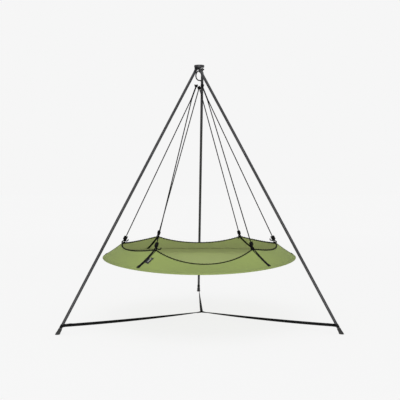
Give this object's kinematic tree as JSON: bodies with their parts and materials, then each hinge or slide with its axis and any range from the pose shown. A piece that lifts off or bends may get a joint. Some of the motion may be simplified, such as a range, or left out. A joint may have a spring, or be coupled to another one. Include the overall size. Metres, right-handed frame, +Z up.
{
  "type": "pod hammock with stand",
  "caption": "Round fabric pod with an open collar, hung by ropes from an S-hook and a swivel eye in a tripod of folding tube legs tied by floor straps.",
  "frame": {"origin": "on the floor under the middle of the whole object's box, 0.253 m behind the tripod's vertical axis, towards the back foot", "axes": "+X to the right between the two front feet, +Y towards the single back foot, +Z up"},
  "size_m": [2.4403, 2.3064, 2.354],
  "materials": {
    "coated_steel": "satin powder coat",
    "black_steel": "black coated steel",
    "moulded_cap": "matt moulded",
    "foot_rubber": "matt moulded",
    "rope": "braided rope",
    "webbing": "woven webbing",
    "canvas": "woven sage green canvas",
    "pole": "pultruded fibreglass"
  },
  "bodies": {
    "stand_head": {"head_cap": "moulded_cap", "head_plate": "coated_steel", "pivot_bolt_left": "black_steel", "pivot_nut_left": "black_steel", "pivot_bolt_right": "black_steel", "pivot_nut_right": "black_steel", "pivot_bolt_back": "black_steel", "pivot_nut_back": "black_steel", "strap_ring": "black_steel"},
    "swivel_eye": {"eye_bolt": "black_steel", "eye_nut": "black_steel"},
    "hook": {"s_hook": "black_steel"},
    "pod": {"hem_rope": "rope", "pod_collar": "canvas", "pod_floor": "canvas", "rope_left": "rope", "knot_left": "rope", "pod_strap_left": "webbing", "rope_front_left": "rope", "knot_front_left": "rope", "pod_strap_front_left": "webbing", "rope_front_right": "rope", "knot_front_right": "rope", "pod_strap_front_right": "webbing", "rope_right": "rope", "knot_right": "rope", "pod_strap_right": "webbing", "rope_back_right": "rope", "knot_back_right": "rope", "pod_strap_back_right": "webbing", "rope_back_left": "rope", "knot_back_left": "rope", "pod_strap_back_left": "webbing", "top_hitch_left": "rope", "top_hitch_centre": "rope", "top_hitch_right": "rope", "rope_leader_left": "rope", "rope_leader_right": "rope", "ring_pole_front_left": "pole", "ring_pole_front_right": "pole", "ring_pole_back_right": "pole", "ring_pole_back_left": "pole"},
    "leg_left": {"leg_end_left": "coated_steel", "leg_left_upper": "coated_steel", "leg_left_middle": "coated_steel", "leg_left_lower": "coated_steel", "foot_left": "foot_rubber", "floor_strap_left": "webbing"},
    "leg_right": {"leg_end_right": "coated_steel", "leg_right_upper": "coated_steel", "leg_right_middle": "coated_steel", "leg_right_lower": "coated_steel", "foot_right": "foot_rubber", "floor_strap_right": "webbing"},
    "leg_back": {"leg_end_back": "coated_steel", "leg_back_upper": "coated_steel", "leg_back_middle": "coated_steel", "leg_back_lower": "coated_steel", "foot_back": "foot_rubber", "floor_strap_back": "webbing"}
  },
  "joints": [
    {"name": "eye_turn", "type": "hinge", "parent": "stand_head", "child": "swivel_eye", "pos_m": [0, -0.25324, 2.3042], "axis": [0, 0, 1], "continuous": true},
    {"name": "hook_swing", "type": "hinge", "parent": "swivel_eye", "child": "hook", "pos_m": [0, -0.25324, 2.2912], "axis": [0, 1, 0], "range_deg": [-1.2, 1.2]},
    {"name": "pod_swing", "type": "hinge", "parent": "hook", "child": "pod", "pos_m": [0, -0.25324, 2.1485], "axis": [1, 0, 0], "range_deg": [-1.2, 1.2]},
    {"name": "leg_left_fold", "type": "hinge", "parent": "stand_head", "child": "leg_left", "pos_m": [-0.02858, -0.23674, 2.318], "axis": [0.518, -0.8554, 0], "range_deg": [0, 1.5], "deforming": ["floor_strap_left"]},
    {"name": "leg_right_fold", "type": "hinge", "parent": "stand_head", "child": "leg_right", "pos_m": [0, -0.28624, 2.318], "axis": [0.4818, 0.8763, 0], "range_deg": [0, 1.5], "deforming": ["floor_strap_right"]},
    {"name": "leg_back_fold", "type": "hinge", "parent": "stand_head", "child": "leg_back", "pos_m": [0.02858, -0.23674, 2.318], "axis": [-0.9998, -0.0209, 0], "range_deg": [0, 1.5], "deforming": ["floor_strap_back"]}
  ]
}
